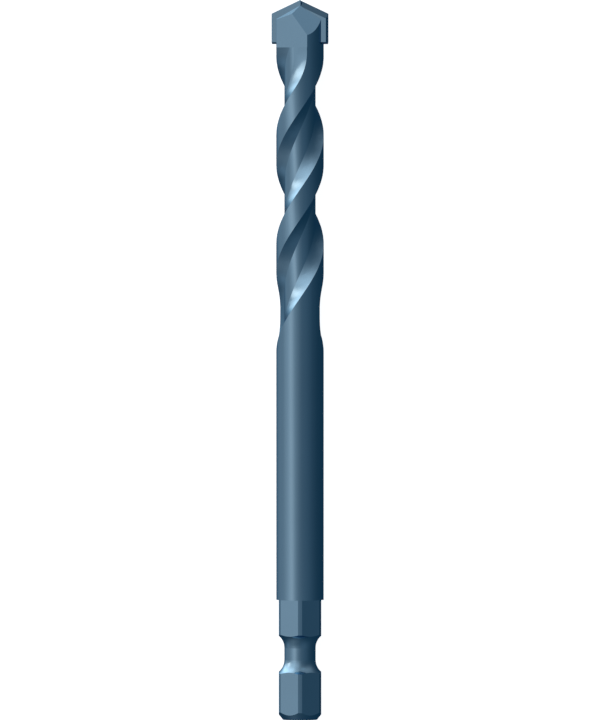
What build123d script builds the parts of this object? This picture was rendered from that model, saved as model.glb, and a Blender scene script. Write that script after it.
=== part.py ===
from build123d import *
from math import cos, radians, sin, sqrt, tan
import os

os.makedirs("parts", exist_ok=True)

# All lengths are in millimetres and all angles in degrees.
# Stations are measured along the axis from the end of the shank, and depths
# from the point of the plate down.
# The bit lies along Y with its tip at +Y. Turns about the axis are measured
# from straight up towards +X.

# Whole bit
length = 107.6
body_dia = 7.1

# Hex shank, its corners turned round
hex_flats = 6.35
hex_corner_dia = 7.0
shank_end_dia = 5.14
shank_end_taper = 1.15
shoulder_at = 17.95

# Retaining groove of the shank
groove_at = 9.85
groove_dia = 4.68
groove_straight = 1.8
groove_side_radius = 2.32

# Two flutes, the second half a turn from the first
flute_lead = 32.4
flute_core_radius = 2.33
flute_left_foot = -33.3
flute_right_foot = 25.5
flute_land_edge = 65.0
flute_up_depth = 6.22
flute_top_depth = 7.1

# The right wall of a flute stops turning just below the head
right_wall_slows_depth = 13.24
right_wall_slows_over = 5.38

# The left wall stops turning in the run-out, then bends back, faster and
# faster, to meet the right wall and close the flute
left_wall_slows_depth = 41.8
left_wall_slows_over = 4.2
left_wall_returns_depth = 47.6
left_wall_return = 1.0
flute_bottom_depth = 54.0

# Flats of the head
flat_turn = -32.0
flat_inset = 0.02

# Carbide plate
tip_dia = 8.5
plate_thick = 2.0
plate_turn = -11.5
plate_seat_depth = 6.6
plate_chamfer = 0.3
point_angle = 130.0
lip_clearance = 20.0
web_overlap = 0.28
braze_gap = 0.025

# Ground steel behind the lips: height on the axis over or under the point,
# then fall or rise per millimetre
relief_over_point = 0.98
relief_fall_side = 0.3185
relief_fall_out = 1.739
strip_under_point = 0.37
strip_rise_side = 0.66
strip_fall_out = 0.465

# Steps between the sections that shape a flute, and reach of a cut past the steel
section_turn = 15.0
over = 1.0

# Derived sizes
body_radius = body_dia / 2
axis_height = max(body_dia, hex_corner_dia) / 2
twist = 360 / flute_lead
flute_up_at = length - flute_up_depth
flute_top = length - flute_top_depth
flute_bottom = length - flute_bottom_depth
right_wall_slows_at = length - right_wall_slows_depth
left_wall_slows_at = length - left_wall_slows_depth
left_wall_returns_at = length - left_wall_returns_depth
plate_seat = length - plate_seat_depth
flat_depth = flute_core_radius - flat_inset
plate_half_width = sqrt((tip_dia / 2) ** 2 - (plate_thick / 2) ** 2)
lip_slope = tan(radians(90 - point_angle / 2))
clearance_slope = tan(radians(lip_clearance))
lips_meet = length - web_overlap * lip_slope
tip_reach = tip_dia / 2 + over
bit_axis = Axis((0, 0, axis_height), (0, 1, 0))


# Plane square to the axis at a station, its own X side turned from straight up
def across(station, turn=0.0):
    side = (sin(radians(turn)), 0, cos(radians(turn)))
    return Plane(origin=(0, station - length / 2, axis_height), x_dir=side, z_dir=(0, 1, 0))


# Point in such a plane, given by its radius and its turn
def polar(radius, turn):
    return Vector(radius * cos(radians(turn)), radius * sin(radians(turn)))


# Sloping plane over the head, given by its height over the axis, its fall
# towards +X and its fall upwards from the axis
def slope(height, fall_side, fall_out):
    return Plane(origin=(0, height - length / 2, axis_height), z_dir=(fall_side, 1, fall_out))


# Turn that is left of an even twist over a stretch where it dies out evenly
def slowing(past, stretch):
    done = min(max(past, 0), stretch)
    return twist * (done - done * done / (2 * stretch))


# Turn of the right wall of a flute
def right_turn(station):
    even = min(station, right_wall_slows_at) - flute_up_at
    return twist * even + slowing(station - right_wall_slows_at, right_wall_slows_over)


# Turn of the left wall of a flute
def left_turn(station):
    even = max(station, left_wall_slows_at) - flute_up_at
    slowed = slowing(left_wall_slows_at - station, left_wall_slows_over)
    back = left_wall_return * max(left_wall_returns_at - station, 0) ** 2
    return twist * even - slowed + back


# Stations between two ends, close enough that no step turns too far
def stations(first, last):
    steps = int(twist * (last - first) / section_turn) + 1
    return [first + (last - first) * step / steps for step in range(steps + 1)]


# Steel beside one wall of a flute, as a slice: along the wall from its nearest
# point to the axis, out past the bit, round the back and home to the axis
def beside_wall(foot_turn, edge_turn):
    foot = polar(flute_core_radius, foot_turn)
    edge = polar(body_radius, edge_turn)
    side = edge_turn / abs(edge_turn)
    way = (edge - foot).normalized()
    nearest = foot - way * foot.dot(way)
    back = [polar(2 * tip_dia, side * turn) for turn in range(110, 300, 60)]
    Polyline((0, 0), nearest, edge + way * over, *back, close=True)


# Groove sides: an arc that leaves the neck and reaches the flats of the hex
groove_centre_radius = groove_dia / 2 + groove_side_radius
groove_rise = groove_centre_radius - hex_corner_dia / 2
groove_reach = sqrt(groove_side_radius**2 - groove_rise**2)
groove_low = groove_at - groove_straight / 2
groove_high = groove_at + groove_straight / 2
side_mid = sqrt(0.5) * groove_side_radius

# Outline of the turned shank from the axis outwards
with BuildPart() as turned_shank:
    with BuildSketch(Plane(origin=(0, -length / 2, axis_height), z_dir=(0, 0, 1))):
        with BuildLine():
            corner = hex_corner_dia / 2
            Polyline((0, 0), (shank_end_dia / 2, 0), (corner, shank_end_taper))
            Line((corner, shank_end_taper), (corner, groove_low - groove_reach))
            ThreePointArc(
                (corner, groove_low - groove_reach),
                (groove_centre_radius - side_mid, groove_low - side_mid),
                (groove_dia / 2, groove_low),
            )
            Line((groove_dia / 2, groove_low), (groove_dia / 2, groove_high))
            ThreePointArc(
                (groove_dia / 2, groove_high),
                (groove_centre_radius - side_mid, groove_high + side_mid),
                (corner, groove_high + groove_reach),
            )
            Line((corner, groove_high + groove_reach), (corner, shoulder_at))
            Polyline((corner, shoulder_at), (0, shoulder_at), (0, 0))
        make_face()
    revolve(axis=bit_axis)

# Steel to the left and to the right of one flute, twisted along the bit
with BuildPart() as left_steel:
    for station in stations(flute_bottom - over, flute_top + over):
        with BuildSketch(across(station, left_turn(station))):
            with BuildLine():
                beside_wall(flute_left_foot, -flute_land_edge)
            make_face()
    loft()

with BuildPart() as right_steel:
    for station in stations(flute_bottom - over, flute_top + over):
        with BuildSketch(across(station, right_turn(station))):
            with BuildLine():
                beside_wall(flute_right_foot, flute_land_edge)
            make_face()
    loft()

# Steel left standing beside the web, under the flat of the head
with BuildPart() as web_pad:
    with BuildSketch(across(right_wall_slows_at, flat_turn)):
        Rectangle(flat_depth, body_dia, align=(Align.MIN, Align.MIN))
    extrude(amount=flute_top - right_wall_slows_at + over)

# One flute: a ring round the core, less the steel on both sides and the pad
with BuildPart() as flute_cutter:
    with BuildSketch(across(flute_bottom, 90)):
        Circle(body_radius + over)
        Circle(flute_core_radius, mode=Mode.SUBTRACT)
    extrude(amount=flute_top - flute_bottom)
    add(left_steel.part, mode=Mode.SUBTRACT)
    add(right_steel.part, mode=Mode.SUBTRACT)
    add(web_pad.part, mode=Mode.SUBTRACT)

# Steel left standing on one side of the plate, under its two ground slopes
with BuildPart() as ground_side:
    with BuildSketch(across(plate_seat - over, plate_turn)):
        Rectangle(tip_reach, 2 * tip_reach, align=(Align.MIN, Align.CENTER))
    extrude(amount=length - plate_seat + 2 * over)
    split(bisect_by=slope(length + relief_over_point, relief_fall_side, relief_fall_out), keep=Keep.BOTTOM)
    split(bisect_by=slope(length - strip_under_point, -strip_rise_side, strip_fall_out), keep=Keep.BOTTOM)

with BuildPart() as grinding_cutter:
    with BuildSketch(across(plate_seat - over, plate_turn)):
        Rectangle(tip_reach, 2 * tip_reach, align=(Align.MIN, Align.CENTER))
    extrude(amount=length - plate_seat + 2 * over)
    add(ground_side.part, mode=Mode.SUBTRACT)

# The steel bit, from the hex shank to the slotted head
with BuildPart() as drill_body:
    with BuildSketch(across(0)):
        RegularPolygon(hex_flats / 2, 6, major_radius=False)
    extrude(amount=shoulder_at)
    add(turned_shank.part, mode=Mode.INTERSECT)
    with BuildSketch(across(shoulder_at, 180)):
        Circle(body_radius)
    extrude(amount=length - shoulder_at)
    for half_turn in (0, 180):
        add(flute_cutter.part.rotate(bit_axis, half_turn), mode=Mode.SUBTRACT)
        with BuildSketch(across(flute_top, flat_turn + half_turn)):
            with BuildLine():
                Polyline(
                    (flat_depth, -body_dia),
                    (body_dia, -body_dia),
                    (body_dia, body_dia),
                    (flat_depth, body_dia),
                    close=True,
                )
            make_face()
        extrude(amount=length - flute_top + over, mode=Mode.SUBTRACT)
        add(grinding_cutter.part.rotate(bit_axis, half_turn), mode=Mode.SUBTRACT)
    with BuildSketch(across(plate_seat, plate_turn)):
        Rectangle(plate_thick + 2 * braze_gap, 2 * tip_reach)
    extrude(amount=length - plate_seat + over, mode=Mode.SUBTRACT)

drill_body.part.label = "drill_body"
export_step(drill_body.part, "parts/drill_body.step")

# Half of the carbide plate: one lip and the clearance that falls away from it
with BuildPart() as half_plate:
    with BuildSketch(across(plate_seat, plate_turn)):
        with BuildLine():
            Polyline(
                (-plate_thick / 2, -web_overlap),
                (plate_thick / 2, -web_overlap),
                (plate_thick / 2, plate_half_width),
                (-plate_thick / 2, plate_half_width),
                close=True,
            )
        make_face()
    extrude(amount=length - plate_seat + over)
    lip_end = across(lips_meet, plate_turn)
    lip_back = lip_end.from_local_coords((-plate_thick / 2, 0, 0))
    lip_way = lip_end.x_dir * clearance_slope + lip_end.y_dir * lip_slope + lip_end.z_dir
    split(bisect_by=Plane(origin=lip_back, z_dir=lip_way), keep=Keep.BOTTOM)
    seat_edges = half_plate.edges().filter_by(Axis((0, 0, 0), lip_end.y_dir)).group_by(Axis.Y)[0]
    chamfer(seat_edges, plate_chamfer)

with BuildPart() as carbide_tip:
    add(half_plate.part)
    add(half_plate.part.rotate(bit_axis, 180))

carbide_tip.part.label = "carbide_tip"
export_step(carbide_tip.part, "parts/carbide_tip.step")
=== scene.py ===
import bpy
import math
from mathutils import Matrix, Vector


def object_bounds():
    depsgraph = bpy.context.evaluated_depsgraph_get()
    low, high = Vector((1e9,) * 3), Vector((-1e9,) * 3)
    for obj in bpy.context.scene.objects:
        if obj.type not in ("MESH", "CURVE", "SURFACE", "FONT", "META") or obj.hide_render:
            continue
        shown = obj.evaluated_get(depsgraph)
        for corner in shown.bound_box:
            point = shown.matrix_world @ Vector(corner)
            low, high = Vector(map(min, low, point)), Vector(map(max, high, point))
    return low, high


# Lengths are in metres. The bit lies along Y, its tip at +Y
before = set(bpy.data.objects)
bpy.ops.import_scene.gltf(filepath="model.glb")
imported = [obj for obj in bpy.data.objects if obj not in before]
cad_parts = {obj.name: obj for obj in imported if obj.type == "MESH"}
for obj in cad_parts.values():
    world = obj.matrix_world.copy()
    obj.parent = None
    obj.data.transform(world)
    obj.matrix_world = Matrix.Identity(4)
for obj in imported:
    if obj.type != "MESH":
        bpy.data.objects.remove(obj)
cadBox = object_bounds()
scene = bpy.context.scene
print("frame loaded:", sorted(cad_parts))


def node(tree, kind, **values):
    # One shader node with its settings: input1=... fills its socket number 1
    made = tree.nodes.new(kind)
    for key, value in values.items():
        if key.startswith("input"):
            made.inputs[int(key[5:])].default_value = value
        else:
            setattr(made, key, value)
    return made


def link(tree, source, target):
    tree.links.new(source, target)


def maths(tree, operation, first, second=None):
    # first (operation) second, each a socket or a plain number
    made = node(tree, "ShaderNodeMath", operation=operation)
    for place, value in enumerate((first, second)):
        if value is None:
            continue
        if isinstance(value, (int, float)):
            made.inputs[place].default_value = value
        else:
            link(tree, value, made.inputs[place])
    return made.outputs[0]


noiseSpan = (0.27, 0.73)  # nearly all of a noise lies between these


def spread(tree, source, middle, reach):
    # Noise carried over to middle - reach ... middle + reach
    made = node(tree, "ShaderNodeMapRange", input1=noiseSpan[0], input2=noiseSpan[1])
    made.inputs["To Min"].default_value = middle - reach
    made.inputs["To Max"].default_value = middle + reach
    link(tree, source, made.inputs["Value"])
    return made.outputs["Result"]


steel = {
    "colour": (0.34, 0.56, 0.72),
    "edgeColour": (0.5, 0.72, 0.88),   # seen at a grazing angle
    "roughness": 0.11,
    "roughnessSpread": 0.015,
    "cloudsPerMetre": 90.0,            # the blue drifts softly over the bit
    "cloudDetail": 3.0,
    "clouding": 0.03,
    "ringsPerMetre": 2500.0,           # turned marks round the body
    "marksAcrossPerMetre": 60.0,       # they change slowly across the bit
    "ringDetail": 4.0,
    "ringDepth": 0.00002,
    "ringStrength": 0.004,
    "paintedHighlightColour": (0.96, 0.93, 0.91),  # painted highlight: near white on faces turned towards the tip
    "paintedHighlightFacing": (0.60, 0.72),          # painted highlight on faces that look this far towards the tip
    "paintedHighlightBeyond": 0.045,               # and lie this far along the bit
}

carbide = {
    "colour": (0.34, 0.55, 0.70),
    "edgeColour": (0.5, 0.72, 0.88),
    "roughness": 0.11,
    "roughnessSpread": 0.015,
    "cloudsPerMetre": 90.0,
    "cloudDetail": 3.0,
    "clouding": 0.03,
    "ringsPerMetre": 4000.0,           # fine wheel marks on the ground faces
    "marksAcrossPerMetre": 60.0,
    "ringDetail": 4.0,
    "ringDepth": 0.00002,
    "ringStrength": 0.004,
    "paintedHighlightColour": (0.50, 0.68, 0.80),  # painted highlight: a little brighter where it faces the tip
    "paintedHighlightFacing": (0.60, 0.72),
    "paintedHighlightBeyond": 0.045,
}


def brushedMetal(name, look):
    # Metal whose blue drifts softly over the bit, with fine marks in its gloss and
    # relief that run round the axis
    material = bpy.data.materials.new(name)
    material.use_nodes = True
    tree = material.node_tree
    shader = tree.nodes["Principled BSDF"]
    shader.inputs["Metallic"].default_value = 1.0
    shader.inputs["Specular Tint"].default_value = (*look["edgeColour"], 1.0)
    texture = node(tree, "ShaderNodeTexCoord")

    # Colour: blued metal with a painted highlight on head faces turned towards the tip, times the soft drift
    facing = node(tree, "ShaderNodeSeparateXYZ")
    link(tree, texture.outputs["Normal"], facing.inputs[0])
    # Painted highlight: lighter colour by how far a face turns towards the tip, on the head only
    paintedHighlightMask = node(tree, "ShaderNodeMapRange", interpolation_type="SMOOTHSTEP")
    paintedHighlightMask.inputs["From Min"].default_value, paintedHighlightMask.inputs["From Max"].default_value = look["paintedHighlightFacing"]
    link(tree, facing.outputs["Y"], paintedHighlightMask.inputs["Value"])
    place = node(tree, "ShaderNodeSeparateXYZ")
    link(tree, texture.outputs["Object"], place.inputs[0])
    onHead = maths(tree, "GREATER_THAN", place.outputs["Y"], look["paintedHighlightBeyond"])
    metal = node(tree, "ShaderNodeMix", data_type="RGBA")
    metal.inputs["A"].default_value = (*look["colour"], 1.0)
    metal.inputs["B"].default_value = (*look["paintedHighlightColour"], 1.0)
    link(tree, maths(tree, "MULTIPLY", paintedHighlightMask.outputs["Result"], onHead), metal.inputs["Factor"])
    clouds = node(tree, "ShaderNodeTexNoise", input2=look["cloudsPerMetre"], input3=look["cloudDetail"])
    link(tree, texture.outputs["Object"], clouds.inputs["Vector"])
    tint = node(tree, "ShaderNodeVectorMath", operation="SCALE")
    link(tree, metal.outputs["Result"], tint.inputs[0])
    link(tree, spread(tree, clouds.outputs["Fac"], 1.0, look["clouding"]), tint.inputs["Scale"])
    link(tree, tint.outputs[0], shader.inputs["Base Color"])

    # Gloss and relief of the marks: noise that is long across the bit and short
    # along it, sized by the mapping alone
    squeeze = node(tree, "ShaderNodeMapping")
    slow = look["marksAcrossPerMetre"]
    squeeze.inputs["Scale"].default_value = (slow, look["ringsPerMetre"], slow)
    link(tree, texture.outputs["Object"], squeeze.inputs["Vector"])
    rings = node(tree, "ShaderNodeTexNoise", input2=1.0, input3=look["ringDetail"])
    link(tree, squeeze.outputs[0], rings.inputs["Vector"])
    gloss = spread(tree, rings.outputs["Fac"], look["roughness"], look["roughnessSpread"])
    link(tree, gloss, shader.inputs["Roughness"])
    bump = node(tree, "ShaderNodeBump")
    bump.inputs["Strength"].default_value = look["ringStrength"]
    bump.inputs["Distance"].default_value = look["ringDepth"]
    link(tree, rings.outputs["Fac"], bump.inputs["Height"])
    link(tree, bump.outputs[0], shader.inputs["Normal"])
    return material


finishes = {"drill_body": ("bluedSteel", steel), "carbide_tip": ("groundCarbide", carbide)}
for name, (metal, look) in finishes.items():
    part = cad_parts[name]
    part.data.materials.clear()
    part.data.materials.append(brushedMetal(metal, look))
print("finishes made")


# Soft light from all round: an even part, soft lamps, and a backdrop that only
# the camera sees. A lamp's aim is in degrees to the right of the lens and in
# degrees towards the tip. A "cutOff" lamp ends at the edge of its screen
tints = {"warm": (1.0, 0.78, 0.68), "plain": (1.0, 0.95, 0.96), "cool": (0.75, 0.9, 1.05)}

studio = {
    "even": (0.015, 0.05, 0.08),
    "screenEdge": (0.135, 0.20),  # sines of the angle towards the tip, none to full
    "lamps": [
        {"aim": (-50, 30), "tightness": 4, "strength": 0.73, "tint": "plain"},  # key
        {"aim": (-130, 40), "tightness": 8, "strength": 1.6, "tint": "plain"},  # left, behind
        {"aim": (-90, 20), "tightness": 30, "strength": 1.1, "tint": "warm", "cutOff": True},  # screen
        {"aim": (-80, 10), "tightness": 60, "strength": 0.35, "tint": "warm", "cutOff": True},  # its low end
        {"aim": (-130, 20), "tightness": 30, "strength": 0.5, "tint": "warm", "cutOff": True},  # its far end
        {"aim": (-40, 0), "tightness": 30, "strength": 0.15, "tint": "warm"},  # line on the body
        {"aim": (-60, -50), "tightness": 8, "strength": 0.12, "tint": "plain"},  # left, low
        {"aim": (-100, -20), "tightness": 20, "strength": 0.12, "tint": "cool"},  # far left, low
        {"aim": (-80, 60), "tightness": 20, "strength": 0.5, "tint": "plain"},  # left, past the tip
        {"aim": (80, 60), "tightness": 8, "strength": 0.25, "tint": "plain"},  # right, past the tip
        {"aim": (30, 60), "tightness": 60, "strength": 0.1, "tint": "cool"},  # on the ground slope
        {"aim": (30, -20), "tightness": 4, "strength": 0.08, "tint": "cool"},  # fill
    ],
    "backdrop": (0.93, 0.93, 0.93),
    "floorColour": (0.9, 0.9, 0.9),
    "floorRoughness": 0.9,
    "floorGlow": 0.93,
    "floorHalf": 6.0,
}


def softLamp(tree, way, lamp, screen):
    # tint * strength * e ^ (tightness * (cosine of the angle from the aim - 1)), and
    # nothing under the screen's edge for a lamp that is cut off
    right, tipward = (math.radians(angle) for angle in lamp["aim"])
    aim = (math.sin(right) * math.cos(tipward), math.sin(tipward), math.cos(right) * math.cos(tipward))
    cosine = node(tree, "ShaderNodeVectorMath", operation="DOT_PRODUCT")
    link(tree, way, cosine.inputs[0])
    cosine.inputs[1].default_value = aim
    short = maths(tree, "SUBTRACT", cosine.outputs["Value"], 1.0)
    glow = maths(tree, "EXPONENT", maths(tree, "MULTIPLY", short, lamp["tightness"]))
    if lamp.get("cutOff"):
        glow = maths(tree, "MULTIPLY", glow, screen)
    coloured = node(tree, "ShaderNodeVectorMath", operation="SCALE")
    coloured.inputs[0].default_value = [lamp["strength"] * part for part in tints[lamp["tint"]]]
    link(tree, glow, coloured.inputs["Scale"])
    return coloured.outputs[0]


def studioLight():
    # The even part and the soft lamps, added up by direction
    world = bpy.data.worlds.new("studio")
    scene.world = world
    world.use_nodes = True
    tree = world.node_tree
    way = node(tree, "ShaderNodeTexCoord").outputs["Generated"]
    split = node(tree, "ShaderNodeSeparateXYZ")
    link(tree, way, split.inputs[0])
    screen = node(tree, "ShaderNodeMapRange", interpolation_type="SMOOTHSTEP")
    screen.inputs["From Min"].default_value, screen.inputs["From Max"].default_value = studio["screenEdge"]
    link(tree, split.outputs["Y"], screen.inputs["Value"])
    total = None
    for lamp in studio["lamps"]:
        more = node(tree, "ShaderNodeVectorMath", operation="ADD")
        more.inputs[0].default_value = studio["even"]
        if total:
            link(tree, total, more.inputs[0])
        link(tree, softLamp(tree, way, lamp, screen.outputs["Result"]), more.inputs[1])
        total = more.outputs[0]
    seen = node(tree, "ShaderNodeMix", data_type="RGBA")
    link(tree, node(tree, "ShaderNodeLightPath").outputs["Is Camera Ray"], seen.inputs["Factor"])
    link(tree, total, seen.inputs["A"])
    seen.inputs["B"].default_value = (*studio["backdrop"], 1.0)
    link(tree, seen.outputs["Result"], tree.nodes["Background"].inputs["Color"])


def paleFloor():
    # A wide flat square just under the bit
    half = studio["floorHalf"]
    mesh = bpy.data.meshes.new("floor")
    corners = [(-half, -half, 0), (half, -half, 0), (half, half, 0), (-half, half, 0)]
    mesh.from_pydata(corners, [], [(0, 1, 2, 3)])
    floor = bpy.data.objects.new("floor", mesh)
    scene.collection.objects.link(floor)
    paint = bpy.data.materials.new("paleFloor")
    paint.use_nodes = True
    shader = paint.node_tree.nodes["Principled BSDF"]
    shader.inputs["Base Color"].default_value = (*studio["floorColour"], 1)
    shader.inputs["Roughness"].default_value = studio["floorRoughness"]
    shader.inputs["Emission Color"].default_value = (1, 1, 1, 1)
    shader.inputs["Emission Strength"].default_value = studio["floorGlow"]
    mesh.materials.append(paint)
    floor.visible_glossy = False
    floor.visible_diffuse = False


studioLight()
paleFloor()
scene.view_settings.view_transform = "Standard"
print("studio set")


lens = {
    "distance": 1.6,
    "tiltDegrees": 1.5,        # the camera stands a little towards the tip
    "pixelsPerMetre": 6690.0,
    "pixelsHigh": 720,
    "sensor": 36.0,            # millimetres, as Blender keeps it
    "reach": 20.0,             # nothing farther off is seen
}


def longLens():
    # A long lens over the bit: the frame's height in metres over the sensor is
    # the distance over the focal length
    camera = bpy.data.cameras.new("camera")
    holder = bpy.data.objects.new("camera", camera)
    scene.collection.objects.link(holder)
    scene.camera = holder
    frameHeight = lens["pixelsHigh"] / lens["pixelsPerMetre"]
    camera.sensor_width = lens["sensor"]
    camera.lens = lens["sensor"] * lens["distance"] / frameHeight
    camera.clip_end = lens["reach"]
    tilt = math.radians(lens["tiltDegrees"])
    axisHeight = (cadBox[0][2] + cadBox[1][2]) / 2
    back = Vector((0.0, math.sin(tilt), math.cos(tilt)))
    holder.location = Vector((0.0, 0.0, axisHeight)) + back * lens["distance"]
    holder.rotation_euler = (-tilt, 0.0, 0.0)


longLens()
print("camera set")
